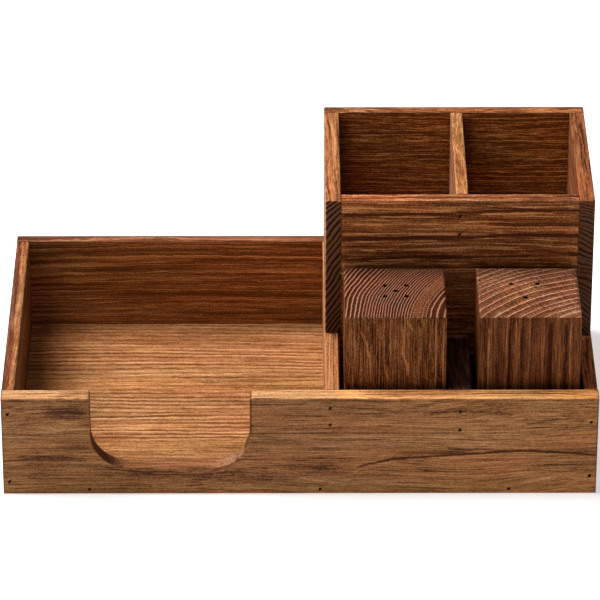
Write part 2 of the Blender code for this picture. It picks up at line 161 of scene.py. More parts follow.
# Blackened steel, black rubber and the floor's paper
RUST_PATTERN = (1400.0, 1400.0, 1400.0)
PEEL_PATTERN = (900.0, 900.0, 900.0)
DUST_PATTERN = (60.0, 60.0, 60.0)
TOOTH_PATTERN = (700.0, 700.0, 700.0)
STEEL_DARK = (0.004, 0.003, 0.0025)
STEEL_RUST = (0.018, 0.009, 0.005)
RUST_COMES = (0.35, 0.70)
STEEL_ROUGHNESS = (0.38, 0.75)
STEEL_GLOSS = 0.06
STEEL_RELIEF = 0.4
RUBBER_BLACK = (0.012, 0.012, 0.013)
RUBBER_DUST = (0.030, 0.030, 0.031)
DUST_COMES = (0.3, 0.8)
RUBBER_ROUGHNESS = (0.55, 0.78)
RUBBER_RELIEF = 0.35
SKIN_DEPTH = 0.0001


class Streak(NamedTuple):
    """A dark or light streak that follows the grain of a board, or wanders off it."""
    path: tuple          # (along, depth) points, in metres
    width: float         # half width, in metres
    darkness: float      # below 0 for a light streak
    fade: float = 0.012  # length over which each end dies away
    axis: int = -1       # axis of the depth, if it isn't the board's own
    within: tuple = ()   # (axis, start, end) ramps that bound it


class Tint(NamedTuple):
    """A change of colour inside some (axis, start, end) ramps."""
    within: tuple
    colour: tuple
    ragged: float = 0.0   # how far the change wanders to either side
    sawn: bool = False    # only on the long sawn edges


class Oak(NamedTuple):
    """How one board was cut from the tree, and how its grain looks."""
    along: str                   # axis that the fibres follow
    pith: tuple                  # middle of the growth rings, on the other two axes
    colour: tuple                # middle colour, as light that it sends back
    ring: float = 0.0030         # width of a growth ring
    growth: tuple = ()           # (radius, rings so far) points, where the rings change in width
    drift: float = 0.6           # how unevenly the rings follow each other
    wander: float = 0.004        # sideways wander of the rings along the board
    shiver: float = 0.0003       # small jagged shifts of the rings
    vein: float = 0.30           # darkness of the line that opens each ring, below 0 if it is light
    vein_width: float = 0.35     # its share of the ring
    vein_rise: float = 0.12      # share of the ring before it, in which it comes up
    bold: tuple = ()             # (radius, strength) points of the veins
    even: float = 0.4            # how alike the veins are, up to 1
    band: float = 0.0            # slow change from light to dark inside each ring
    run: float = 1.0             # how often the lines along the grain change, against their usual
    strand: float = 0.22         # soft lines that follow the rings
    thread: float = 0.24         # thin dark lines that wind between them
    glint: float = 0.15          # thin light lines
    fibre: float = 0.40          # lines that follow the grain
    fine: float = 420.0          # how many of these there are to a metre
    hair: float = 0.35           # hair lines between the fibres
    grit: float = 0.25           # small specks
    cloud: float = 0.14          # broad light and dark places
    spread: float = 26.0         # how many of these there are to a metre
    pore: float = 0.20           # short dark pores
    ray: float = 0.0             # fine lines that run out from the pith
    dark: tuple = (0.20, 0.15, 0.12)
    light: tuple = (1.90, 2.30, 2.80)
    warm: tuple = (1.12, 0.95, 0.85)
    end_shade: tuple = (0.55, 0.55, 0.55)   # colour of the end grain against the faces
    end_veins: float = 1.0       # how much stronger the veins are on it
    sawn: tuple = UNCHANGED      # colour of the long sawn edges against the faces
    wear_and_highlight: float = 1.22           # how light the corners are, from wear and as a painted highlight
    gloss: float = OIL_GLOSS     # how much of the light the oil sends back
    holes: tuple = ()            # (x, y) of holes along the grain, dark inside
    streaks: tuple = ()
    tints: tuple = ()


# The axis that the fibres follow, and the other two, of which the last is a streak's depth
AXES = {"x": (0, 1, 2), "y": (1, 0, 2), "z": (2, 0, 1)}


class Bench:
    """A finish that is being made, with short calls for the nodes that it is made of."""

    def __init__(self, name):
        self.material = bpy.data.materials.new(name)
        self.material.use_nodes = True
        self.tree = self.material.node_tree
        self.tree.nodes.clear()
        self.place = self.node("ShaderNodeTexCoord").outputs["Object"]

    def feed(self, socket, value):
        """Links another node's output to a socket, or sets the socket's own value."""
        if isinstance(value, bpy.types.NodeSocket):
            self.tree.links.new(value, socket)
        else:
            socket.default_value = value

    def node(self, kind, inputs=None, **settings):
        made = self.tree.nodes.new(kind)
        for name, value in settings.items():
            setattr(made, name, value)
        for name, value in (inputs or {}).items():
            self.feed(made.inputs[name], value)
        return made

    def math(self, operation, *terms, clamp=False):
        made = self.node("ShaderNodeMath", operation=operation, use_clamp=clamp)
        for socket, term in zip(made.inputs, terms):
            self.feed(socket, term)
        return made.outputs[0]

    def vector(self, operation, *terms):
        made = self.node("ShaderNodeVectorMath", operation=operation)
        for socket, term in zip(made.inputs, terms):
            self.feed(socket, term)
        return made.outputs[0]

    def split(self, vector):
        return self.node("ShaderNodeSeparateXYZ", {"Vector": vector}).outputs

    def join(self, x, y, z):
        return self.node("ShaderNodeCombineXYZ", {"X": x, "Y": y, "Z": z}).outputs[0]

    def length(self, vector):
        return self.node("ShaderNodeVectorMath", {0: vector}, operation="LENGTH").outputs["Value"]

    def noise(self, place, stretch, layers=SOFT, shift=(0.0, 0.0, 0.0)):
        """The outputs (value, colour) of a noise stretched by three frequencies."""
        stretched = self.vector("MULTIPLY_ADD", place, stretch, shift)
        detail, roughness = layers
        made = self.node("ShaderNodeTexNoise", {"Vector": stretched, "Scale": 1.0,
                                                "Detail": detail, "Roughness": roughness})
        return made.outputs["Fac"], made.outputs["Color"]

    def smooth(self, value, low, high, start=0.0, end=1.0):
        """A value eased from start to end while it passes from low to high."""
        made = self.node("ShaderNodeMapRange", interpolation_type="SMOOTHSTEP")
        for name, term in (("Value", value), ("From Min", low), ("From Max", high),
                           ("To Min", start), ("To Max", end)):
            self.feed(made.inputs[name], term)
        return made.outputs[0]

    def centred(self, value, amount):
        """A noise value turned into a change about nothing."""
        return self.math("MULTIPLY", self.math("SUBTRACT", value, 0.5), amount)

    def ramp(self, value, stops):
        """The colour for a value, between the (value, colour) stops on either side of it."""
        made = self.node("ShaderNodeValToRGB", {"Fac": value})
        band = made.color_ramp
        while len(band.elements) < len(stops):
            band.elements.new(0.5)
        for element, (position, colour) in zip(band.elements, stops):
            element.position = position
            element.color = (*colour, 1.0)
        return made.outputs["Color"]

    def fade(self, value, reach, first, last):
        """The first colour below a reach of values, and the last one above it."""
        return self.ramp(value, tuple(zip(reach, (first, last))))

    def blend(self, factor, first, second, kind="MIX"):
        """Two colours mixed. Inputs 6 and 7 and output 2 of a Mix node are those for colours."""
        made = self.node("ShaderNodeMix", data_type="RGBA", blend_type=kind)
        self.feed(made.inputs[0], factor)
        for socket, colour in ((made.inputs[6], first), (made.inputs[7], second)):
            self.feed(socket, (*colour, 1.0) if isinstance(colour, tuple) else colour)
        return made.outputs[2]

    def finish(self, colour, roughness, relief=None, **own):
        """Closes the finish with its shader. The relief is (height, depth, strength), and values
        that are the same all over go in own."""
        shader = self.node("ShaderNodeBsdfPrincipled", {"Base Color": colour, "Roughness": roughness})
        for name, value in own.items():
            shader.inputs[name.replace("_", " ")].default_value = value
        if relief:
            bump = self.node("ShaderNodeBump", dict(zip(("Height", "Distance", "Strength"), relief)))
            self.feed(shader.inputs["Normal"], bump.outputs["Normal"])
        out = self.node("ShaderNodeOutputMaterial")
        self.feed(out.inputs["Surface"], shader.outputs["BSDF"])
        return self.material


def times(colour, factors):
    return tuple(c * f for c, f in zip(colour, factors))


def curve_through(bench, value, points):
    """A smooth curve of value through (from, to) points."""
    firsts = [first for first, _ in points]
    lasts = [last for _, last in points]
    start, length = firsts[0], firsts[-1] - firsts[0]
    low, rise = min(lasts), max(max(lasts) - min(lasts), LEAST_RISE)
    curve = bench.node("ShaderNodeFloatCurve")
    bends = curve.mapping.curves[0].points
    while len(bends) < len(points):
        bends.new(0.5, 0.5)
    for bend, (first, last) in zip(bends, points):
        bend.location = ((first - start) / length, (last - low) / rise)
    curve.mapping.update()
    share = bench.math("DIVIDE", bench.math("SUBTRACT", value, start), length, clamp=True)
    bench.feed(curve.inputs["Value"], share)
    return bench.math("MULTIPLY_ADD", curve.outputs[0], rise, low)


def inside_ramps(bench, mask, ramps, parts, shift=0.0):
    """A mask cut down by (axis, start, end) ramps."""
    for axis, start, end in ramps:
        place = bench.math("ADD", parts[axis], shift)
        mask = bench.math("MULTIPLY", mask, bench.smooth(place, start, end))
    return mask


def streak_mask(bench, streak, along, depth, jitter, parts):
    """1 in the middle of a streak, and 0 beside it and past its ends."""
    first, last = streak.path[0][0], streak.path[-1][0]
    middle = curve_through(bench, along, streak.path)
    off = bench.math("ABSOLUTE", bench.math("ADD", bench.math("SUBTRACT", depth, middle), jitter))
    across = bench.smooth(off, 0.0, streak.width, 1.0, 0.0)
    opens = bench.smooth(along, first, first + streak.fade)
    closes = bench.smooth(along, last - streak.fade, last, 1.0, 0.0)
    mask = bench.math("MULTIPLY", across, bench.math("MULTIPLY", opens, closes))
    return inside_ramps(bench, mask, streak.within, parts)


def bend_grain(bench, grain, oak, shift):
    """The grain's place, moved sideways as the rings wander and shiver along the board."""
    wide = bench.noise(grain, WANDER_PATTERN, PLAIN, shift)[1]
    close = bench.noise(grain, SHIVER_PATTERN, CRISP, shift)[1]
    for noise, amount in ((wide, oak.wander), (close, oak.shiver)):
        moved = bench.vector("MULTIPLY", bench.vector("SUBTRACT", noise, (0.5, 0.5, 0.5)),
                             (0.0, BEND_SWING * amount, BEND_SWING * amount))
        grain = bench.vector("ADD", grain, moved)
    return grain


def count_rings(bench, oak, radius, seed):
    """How many rings lie between the pith and a place."""
    if oak.growth:
        even = curve_through(bench, radius, oak.growth)
    else:
        even = bench.math("DIVIDE", radius, oak.ring)
    drift = bench.noise(bench.join(even, seed * DRIFT_STEP, 0.0), (DRIFT_PACE, 1.0, 1.0), PLAIN)[0]
    return bench.math("ADD", even, bench.centred(drift, DRIFT_SWING * oak.drift))


def vein_mask(bench, oak, count, radius, along, seed, shift):
    """The line that opens each ring, and its mean: some rings have a strong one, which comes and goes."""
    share = bench.math("FRACT", count)
    number = bench.math("FLOOR", bench.math("ADD", count, oak.vein_rise))
    vein = bench.math("MAXIMUM", bench.smooth(share, 0.0, oak.vein_width, 1.0, 0.0),
                      bench.smooth(share, 1.0 - oak.vein_rise, 1.0))
    strength = bench.node("ShaderNodeTexWhiteNoise",
                          {"W": bench.math("ADD", number, seed * VEIN_STEP)},
                          noise_dimensions="1D").outputs["Value"]
    comes = bench.noise(bench.join(along, count, 0.0), (VEIN_RUN * oak.run, *VEIN_ACROSS), SOFT,
                        shift)[0]
    vein = bench.math("MULTIPLY", vein, bench.math("MULTIPLY_ADD", strength, 1.0 - oak.even, oak.even))
    vein = bench.math("MULTIPLY", vein, bench.smooth(comes, *VEIN_COMES, oak.even, 1.0))
    if not oak.bold:
        return vein, VEIN_MEAN
    bold = curve_through(bench, radius, oak.bold)
    return bench.math("MULTIPLY", vein, bold), bench.math("MULTIPLY", bold, VEIN_MEAN)


def thin_lines(bench, rings, along, shift, amount):
    """Thin lines that wind between the rings, light or dark."""
    noise = bench.noise(rings, (along, *THREAD_ACROSS), CRISP, shift)[0]
    off = bench.math("ABSOLUTE", bench.math("SUBTRACT", noise, 0.5))
    return bench.smooth(off, 0.0, THREAD_WIDTH, amount, -THREAD_PALER * amount)


def ring_band(bench, oak, count):
    """The slow change from light to dark and back inside each ring."""
    share = bench.math("FRACT", bench.math("ADD", count, BAND_SHIFT))
    band = bench.math("PINGPONG", bench.math("ADD", share, BAND_LEAD), 0.5)
    return bench.centred(bench.smooth(band, *BAND_COMES), oak.band)


def ray_lines(bench, oak, bent, radius, shift):
    """Fine lines that run out from the pith, as end grain shows them."""
    along, across, depth = bent
    turn = bench.math("ARCTAN2", across, depth)
    ray = bench.noise(bench.join(turn, radius, along), RAY_PATTERN, SOFT, shift)[0]
    return bench.centred(bench.smooth(ray, *MOST_OF_IT), oak.ray)


def grain_tone(bench, oak, grain, bent, parts, end, seed, shift):
    """The tone of the wood at a place, its fibre and its pores. Some of the patterns have the
    shift turned round, which keeps them from lying on the others."""
    along, across, depth = bench.split(bent)[:3]
    radius = bench.math("SQRT", bench.math("ADD", bench.math("MULTIPLY", across, across),
                                           bench.math("MULTIPLY", depth, depth)))
    count = count_rings(bench, oak, radius, seed)
    vein, mean = vein_mask(bench, oak, count, radius, along, seed, shift)
    rings = bench.join(along, count, across)
    close = HAIR_FINENESS * oak.fine
    turned = shift[::-1]
    strand = bench.noise(rings, (STRAND_RUN * oak.run, *STRAND_ACROSS), RAGGED, shift)[0]
    fibre = bench.noise(bent, (FIBRE_RUN * oak.run, oak.fine, oak.fine), COARSE, shift)[0]
    hair = bench.noise(bent, (HAIR_RUN * oak.run, close, close), CRISP, turned)[0]
    grit = bench.noise(grain, (GRIT_RUN, close, close), PLAIN, shift)[0]
    pores = bench.noise(grain, (PORE_RUN * oak.run, close, close), PLAIN, shift)[0]
    pore = bench.smooth(pores, *PORE_OPENS)
    cloud = bench.noise(grain, (CLOUD_RUN, oak.spread, oak.spread), SOFT, turned)[0]

    strength = bench.math("MULTIPLY_ADD", end, oak.vein * (oak.end_veins - 1.0), oak.vein)
    tone = bench.math("MULTIPLY_ADD", bench.math("SUBTRACT", mean, vein), strength, MIDDLE_TONE)
    for noise, amount in ((strand, oak.strand), (fibre, oak.fibre), (hair, oak.hair),
                          (grit, oak.grit), (cloud, oak.cloud)):
        tone = bench.math("ADD", tone, bench.centred(bench.smooth(noise, *MOST_OF_IT), amount))
    for run, line_shift, amount in ((THREAD_RUN, turned, -oak.thread), (GLINT_RUN, shift, oak.glint)):
        lines = thin_lines(bench, rings, run * oak.run, line_shift, amount)
        tone = bench.math("ADD", tone, lines)
    tone = bench.math("ADD", tone, bench.math("MULTIPLY", pore, -oak.pore))
    if oak.band:
        tone = bench.math("ADD", tone, ring_band(bench, oak, count))
    if oak.ray:
        tone = bench.math("ADD", tone, ray_lines(bench, oak, (along, across, depth), radius, shift))
    jitter = bench.noise(grain, SHAKE_PATTERN, JAGGED, shift)[0]
    for streak in oak.streaks:
        across_axis = AXES[oak.along][2] if streak.axis < 0 else streak.axis
        shaken = bench.centred(jitter, min(MOST_SHAKE, STREAK_SHAKE * streak.width))
        mask = streak_mask(bench, streak, along, parts[across_axis], shaken, parts)
        tone = bench.math("SUBTRACT", tone, bench.math("MULTIPLY", mask, streak.darkness))
    return tone, fibre, pore


def wood_zones(bench, oak, parts, box):
    """Masks of the long sawn edges, of the end grain and of the corners, which are lightened for wear and
    as a painted highlight. Of the distances to the three pairs of faces, the middle one is small only
    near a corner."""
    low, high = box
    run = AXES[oak.along][0]
    size = high - low
    thin = min((axis for axis in range(3) if axis != run), key=lambda axis: size[axis])
    near = [bench.math("MINIMUM", bench.math("SUBTRACT", parts[axis], low[axis]),
                       bench.math("SUBTRACT", high[axis], parts[axis])) for axis in range(3)]
    sawn = bench.smooth(near[thin], *SAWN_SKIN)
    end = bench.smooth(near[run], *END_SKIN, 1.0, 0.0)
    less = bench.math("MINIMUM", near[0], near[1])
    more = bench.math("MAXIMUM", near[0], near[1])
    corner = bench.math("MAXIMUM", less, bench.math("MINIMUM", more, near[2]))
    waver = bench.noise(bench.place, WEAR_AND_HIGHLIGHT_PATTERN, WEAR_AND_HIGHLIGHT_LAYERS)[0]
    corner = bench.math("ADD", corner, bench.centred(waver, WEAR_AND_HIGHLIGHT_WAVER))
    return sawn, end, bench.smooth(corner, 0.0, WEAR_AND_HIGHLIGHT_REACH, 1.0, 0.0)


def hole_mask(bench, holes, parts):
    """1 on the walls of the pouring holes and on their rims, which are darkened as painted shade."""
    nearest = FAR_OFF
    for x, y in holes:
        off = bench.vector("SUBTRACT", bench.join(parts[0], parts[1], 0.0), (x, y, 0.0))
        nearest = bench.math("MINIMUM", nearest, bench.length(off))
    return bench.smooth(nearest, HOLE_RADIUS, HOLE_RADIUS + HOLE_RIM, 1.0, 0.0)


def brads_through(low, high):
    """The (x, z) places of the brads whose heads are set into a board's front or rear face."""
    spots = []
    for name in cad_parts:
        if name.startswith(("brad_front_", "brad_rear_")):
            first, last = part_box(name)
            middle = (first + last) / 2
            inside = low.x < middle.x < high.x and low.z < middle.z < high.z
            if inside and min(abs(first.y - low.y), abs(last.y - high.y)) < HEAD_DEPTH:
                spots.append((middle.x, middle.z))
    return spots


def bruise_mask(bench, brads, parts, waver):
    """1 in the short slanting split at each brad."""
    nearest = FAR_OFF
    for x, z in brads:
        off_x = bench.math("SUBTRACT", parts[0], x)
        off_z = bench.math("SUBTRACT", parts[2], z)
        slant = bench.math("MULTIPLY_ADD", off_z, -BRUISE_SLANT, off_x)
        place = bench.join(bench.math("DIVIDE", slant, BRUISE_WIDTH),
                           bench.math("DIVIDE", off_z, BRUISE_HEIGHT), 0.0)
        nearest = bench.math("MINIMUM", nearest, bench.length(place))
    ragged = bench.math("ADD", nearest, bench.centred(waver, BRUISE_WAVER))
    return bench.smooth(ragged, *BRUISE_REACH, 1.0, 0.0)


def grain_colour(bench, oak, tone, grain, parts, zones, brads, shift):
    """The colour for a tone, with warm places, tints, sawn edges and darker end grain."""
    sawn, end, corner = zones
    waver = bench.noise(bench.place, RAGGED_PATTERN, RAGGED, shift)[0]
    masks = [inside_ramps(bench, sawn if tint.sawn else 1.0, tint.within, parts,
                          bench.centred(waver, RAGGED_SWING * tint.ragged)) for tint in oak.tints]
    middle = oak.colour
    stops = ((0.0, times(middle, oak.dark)), (DARKER_TONE, times(middle, DARKER)),
             (MIDDLE_TONE, middle), (LIGHTER_TONE, times(middle, LIGHTER)),
             (1.0, times(middle, oak.light)))
    colour = bench.ramp(tone, stops)

    def multiplied(amount, factors):
        return bench.blend(amount, colour, bench.blend(1.0, colour, factors, "MULTIPLY"))

    warmth = bench.noise(grain, WARM_PATTERN, PLAIN, shift)[0]
    colour = multiplied(bench.smooth(warmth, *WARMTH_COMES), oak.warm)
    for mask, tint in zip(masks, oak.tints):
        colour = multiplied(mask, tint.colour)
    if oak.sawn != UNCHANGED:
        colour = multiplied(sawn, oak.sawn)
    if oak.end_shade != UNCHANGED:
        colour = multiplied(end, oak.end_shade)
    # Lighter corners: wear, and a painted highlight where the eased edges catch the light
    colour = multiplied(corner, (oak.wear_and_highlight,) * 3)
    if oak.holes:
        # Painted shade inside the pouring holes and on their rims
        colour = multiplied(hole_mask(bench, oak.holes, parts), HOLE_SHADE)
    if brads:
        colour = multiplied(bruise_mask(bench, brads, parts, waver), BRUISE_SHADE)
    return colour


def oak_finish(node, oak, seed):
    """Solid oak for one board: rings about the pith, strands, fibres, pores and streaks."""
    bench = Bench("oak_" + node)
    run, side, rise = AXES[oak.along]
    parts = bench.split(bench.place)
    grain = bench.join(parts[run], bench.math("SUBTRACT", parts[side], oak.pith[0]),
                       bench.math("SUBTRACT", parts[rise], oak.pith[1]))
    shift = tuple(seed * step for step in SHIFT_STEP)
    bent = bend_grain(bench, grain, oak, shift)
    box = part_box(node)
    zones = wood_zones(bench, oak, parts, box)
    brads = brads_through(*box) if oak.along == "x" else ()
    tone, fibre, pore = grain_tone(bench, oak, grain, bent, parts, zones[1], seed, shift)
    colour = grain_colour(bench, oak, tone, grain, parts, zones, brads, shift)
    roughness = bench.math("ADD", bench.centred(fibre, ROUGHNESS_SWING), OIL_ROUGHNESS)
    height = bench.math("ADD", tone, bench.math("MULTIPLY", pore, -PORE_DEPTH))
    return bench.finish(colour, roughness, (height, GRAIN_DEPTH, GRAIN_RELIEF),
                        Specular_IOR_Level=oak.gloss)


def brad_finish():
    """Blackened steel of the set brads, with a trace of rust."""
    bench = Bench("blackened_brad")
    rust = bench.noise(bench.place, RUST_PATTERN, COARSE)[0]
    colour = bench.fade(rust, RUST_COMES, STEEL_DARK, STEEL_RUST)
    roughness = bench.smooth(rust, *MOST_OF_IT, *STEEL_ROUGHNESS)
    return bench.finish(colour, roughness, (rust, SKIN_DEPTH, STEEL_RELIEF),
                        Specular_IOR_Level=STEEL_GLOSS)


def rubber_finish():
    """Matt black rubber, with the fine orange peel of its mould."""
    bench = Bench("matt_black_rubber")
    peel = bench.noise(bench.place, PEEL_PATTERN, COARSE)[0]
    dust = bench.noise(bench.place, DUST_PATTERN, DUSTY)[0]
    colour = bench.fade(dust, DUST_COMES, RUBBER_BLACK, RUBBER_DUST)
    roughness = bench.smooth(peel, *MOST_OF_IT, *RUBBER_ROUGHNESS)
    return bench.finish(colour, roughness, (peel, SKIN_DEPTH, RUBBER_RELIEF))


def floor_finish():
    """Pale matt paper. It glows, because the lamps alone would leave it grey."""
    bench = Bench("pale_floor")
    tooth = bench.noise(bench.place, TOOTH_PATTERN, SOFT)[0]
    colour = bench.fade(tooth, MOST_OF_IT, times(FLOOR_WHITE, (FLOOR_TOOTH,) * 3), FLOOR_WHITE)
    return bench.finish(colour, FLOOR_ROUGHNESS, Specular_IOR_Level=FLOOR_GLOSS,
                        Emission_Color=(*FLOOR_WHITE, 1.0), Emission_Strength=FLOOR_GLOW)


# The front board's own marks
LONG_DARK_LINE = Streak(((0.0290, 0.0140), (0.0340, 0.0181), (0.0454, 0.0215), (0.0590, 0.0238),
                         (0.0794, 0.0250), (0.1020, 0.0272), (0.1247, 0.0286), (0.1474, 0.0278),
                         (0.1740, 0.0250)), 0.0012, 0.85)
LONG_DARK_SHADE = Streak(((0.0480, 0.0250), (0.0600, 0.0265), (0.0800, 0.0275), (0.1060, 0.0295)),
                         0.0032, 0.40, 0.015)
DARK_CLOUD_RIGHT = Streak(((0.1400, 0.0300), (0.1550, 0.0285), (0.1740, 0.0270)), 0.0035, 0.22, 0.015)
DARK_CLOUD_MIDDLE = Streak(((-0.0150, 0.0220), (0.0100, 0.0190), (0.0320, 0.0150)), 0.0095, 0.20, 0.015)
DARK_CLOUD_LEFT = Streak(((-0.1520, 0.0570), (-0.1350, 0.0545), (-0.1150, 0.0540)), 0.0070, 0.40, 0.015)
LIGHT_BAND_LEFT = Streak(((-0.1500, 0.0425), (-0.1350, 0.0430), (-0.1150, 0.0436)), 0.0015, -0.45)
THIN_LINE = Streak(((-0.1740, 0.0398), (-0.1200, 0.0400), (-0.0300, 0.0403), (0.0600, 0.0404),
                    (0.1250, 0.0407)), 0.0005, 0.30, 0.02)
DARK_BAND_LEFT = Streak(((-0.1740, 0.0250), (-0.1400, 0.0246), (-0.1150, 0.0235)), 0.0032, 0.36, 0.02)
DARK_EDGE_LEFT = Streak(((-0.1740, 0.0228), (-0.1400, 0.0226), (-0.1150, 0.0215)), 0.0006, 0.35)
CLOUD_BESIDE_NOTCH = Streak(((-0.1420, 0.0320), (-0.1320, 0.0320), (-0.1180, 0.0310)), 0.0050, 0.20)
DARK_SILL_LINE = Streak(((-0.1160, 0.0200), (-0.1050, 0.0165), (-0.0920, 0.0150), (-0.0800, 0.0138)),
                        0.0011, 0.35, 0.008)
DARK_SILL_CLOUD = Streak(((-0.1060, 0.0140), (-0.0600, 0.0125), (0.0000, 0.0120)), 0.0055, 0.32, 0.02)
BRAD_STREAK = Streak(((0.0600, 0.0502), (0.0770, 0.0533), (0.0907, 0.0546), (0.1077, 0.0540),
                      (0.1220, 0.0527)), 0.0016, 0.34)
ABOVE_BRAD_STREAK = Streak(((0.0350, 0.0530), (0.0500, 0.0535), (0.0650, 0.0546)), 0.0014, 0.22)
SOFT_BAND_MIDDLE = Streak(((-0.0200, 0.0430), (0.0100, 0.0432), (0.0300, 0.0430), (0.0640, 0.0425)),
                          0.0024, 0.14)
SOFT_BAND_TOP = Streak(((-0.0200, 0.0525), (0.0000, 0.0525), (0.0150, 0.0520)), 0.0030, 0.15)
SLANTING_LINE = Streak(((0.1200, 0.0430), (0.1338, 0.0470), (0.1463, 0.0493), (0.1560, 0.0500)),
                       0.0006, 0.30)
UNDER_ARRIS = Streak(((-0.1740, 0.0618), (0.0000, 0.0617), (0.1740, 0.0618)), 0.0006, 0.20)
TOP_FACE = ((2, 0.0626, 0.0633),)
TOP_DARK_LINE = Streak(((0.0200, -0.0925), (0.0700, -0.0930), (0.1200, -0.0922), (0.1720, -0.0926)),
                       0.0009, 0.42, 0.03, axis=1, within=TOP_FACE)
TOP_DARK_LINE_LEFT = Streak(((-0.1740, -0.0915), (-0.1100, -0.0918)), 0.0009, 0.30, 0.02, axis=1,
                            within=TOP_FACE)
TOP_LIGHT_EDGE = Streak(((-0.1740, -0.0966), (0.0000, -0.0963), (0.1740, -0.0966)), 0.0009, -0.30, axis=1,
                        within=TOP_FACE)
TOP_THIN_LINE = Streak(((-0.0300, -0.0897), (0.0600, -0.0900), (0.1740, -0.0896)), 0.0006, 0.28, axis=1,
                       within=TOP_FACE)
FRONT_STREAKS = (LONG_DARK_LINE, LONG_DARK_SHADE, DARK_CLOUD_RIGHT, DARK_CLOUD_MIDDLE,
                 DARK_CLOUD_LEFT, LIGHT_BAND_LEFT, THIN_LINE, DARK_BAND_LEFT, DARK_EDGE_LEFT,
                 CLOUD_BESIDE_NOTCH, DARK_SILL_LINE, DARK_SILL_CLOUD, BRAD_STREAK,
                 ABOVE_BRAD_STREAK, SOFT_BAND_MIDDLE, SOFT_BAND_TOP, SLANTING_LINE,
                 UNDER_ARRIS, TOP_DARK_LINE, TOP_DARK_LINE_LEFT, TOP_LIGHT_EDGE, TOP_THIN_LINE)
TOP_LEFT_END = (*TOP_FACE, (0, -0.0900, -0.1200))
# Painted light: the top's right part lightened against the shadow of the box and the shakers
TOP_RIGHT_PAINTED_LIGHT = (*TOP_FACE, (0, 0.0180, 0.0300))
TOP_RIGHT_END_PAINTED_LIGHT = (*TOP_FACE, (0, 0.1300, 0.1600))
OLIVE_BAND = ((2, 0.0065, 0.0055), (2, 0.0022, 0.0034))
RED_FOOT = ((2, 0.0026, 0.0012),)
# Painted shade along the notch's right vertical edge
NOTCH_EDGE_SHADE = ((0, -0.0290, -0.0285), (0, -0.0268, -0.0276), (2, 0.0370, 0.0420))
LEFT_EDGE = ((0, -0.1688, -0.1698),)
RIGHT_EDGE = ((0, 0.1688, 0.1698),)
LEFT_BEND = ((0, -0.0990, -0.1110), (2, 0.0600, 0.0560))
# Painted highlight on the notch's right bend
RIGHT_BEND_HIGHLIGHT = ((0, -0.0500, -0.0400), (2, 0.0310, 0.0250))
RIGHT_CHEEK = ((0, -0.0330, -0.0300), (2, 0.0600, 0.0560))
SILL = ((2, 0.0240, 0.0190), (0, -0.1080, -0.0960))
FRONT_FACE_RIGHT = ((0, 0.0300, 0.1200), (2, 0.0633, 0.0626))
FRONT_FACE_LEFT = ((0, -0.0600, -0.1100), (2, 0.0633, 0.0626))

# The tops of the other boards
RIM_LINE = Streak(((-0.0900, -0.1668), (-0.0400, -0.1662), (0.0200, -0.1671), (0.0900, -0.1666)),
                  0.0007, 0.35, axis=0)
BOX_TOP_FACE = ((2, 0.1485, 0.1498),)
BOX_FRONT_LINE = Streak(((0.0100, -0.0193), (0.0600, -0.0188), (0.1000, -0.0180), (0.1750, -0.0176)),
                        0.0013, 0.30, axis=1, within=BOX_TOP_FACE)
BOX_RIGHT_LINE = Streak(((-0.0300, 0.1655), (0.0200, 0.1650), (0.0600, 0.1648), (0.1000, 0.1642)),
                        0.0009, 0.50, axis=0, within=BOX_TOP_FACE)

# The front board of the box: dark lines, wide light bands and short light flecks
BOX_DARK_LINES = (
    (((0.0220, 0.1412), (0.0603, 0.1418), (0.1014, 0.1427), (0.1379, 0.1443), (0.1640, 0.1439)),
     0.0015, 0.85),
    (((0.0220, 0.1258), (0.0603, 0.1263), (0.0831, 0.1268), (0.1014, 0.1268), (0.1242, 0.1281),
      (0.1640, 0.1277)), 0.0014, 0.80),
    (((0.0220, 0.1115), (0.0512, 0.1130), (0.0740, 0.1136), (0.1014, 0.1136), (0.1333, 0.1149),
      (0.1640, 0.1154)), 0.0013, 0.70))
BOX_LIGHT_BANDS = (
    (((0.0220, 0.1456), (0.0600, 0.1461), (0.1100, 0.1470), (0.1640, 0.1480)), 0.0028, -0.22),
    (((0.0230, 0.1288), (0.0667, 0.1290), (0.0950, 0.1292), (0.1196, 0.1309), (0.1640, 0.1319)),
     0.0015, -0.36),
    (((0.0880, 0.1178), (0.1242, 0.1195), (0.1640, 0.1190)), 0.0026, -0.24))
BOX_FLECKS = tuple((path, 0.0007, -0.80) for path in (
    ((0.0440, 0.1397), (0.0620, 0.1399), (0.0800, 0.1396)),
    ((0.1020, 0.1413), (0.1200, 0.1420), (0.1480, 0.1425)),
    ((0.0280, 0.1349), (0.0400, 0.1350), (0.0510, 0.1348)),
    ((0.0680, 0.1352), (0.0750, 0.1355), (0.0840, 0.1352)),
    ((0.0910, 0.1362), (0.1000, 0.1368), (0.1120, 0.1368)),
    ((0.0320, 0.1239), (0.0400, 0.1240), (0.0475, 0.1238)),
    ((0.0640, 0.1244), (0.0720, 0.1246), (0.0810, 0.1244)),
    ((0.0980, 0.1258), (0.1050, 0.1260), (0.1130, 0.1258)),
    ((0.0330, 0.1181), (0.0380, 0.1182), (0.0450, 0.1180)),
    ((0.0570, 0.1182), (0.0700, 0.1190), (0.0820, 0.1196), (0.1010, 0.1199)),
    ((0.0380, 0.1112), (0.0540, 0.1116), (0.0680, 0.1113)),
    ((0.0970, 0.1126), (0.1150, 0.1132), (0.1390, 0.1130))))
BOX_FRONT_STREAKS = (BOX_FRONT_LINE, *(
    Streak(path, width, darkness, 0.005)
    for path, width, darkness in (*BOX_DARK_LINES, *BOX_LIGHT_BANDS, *BOX_FLECKS)))
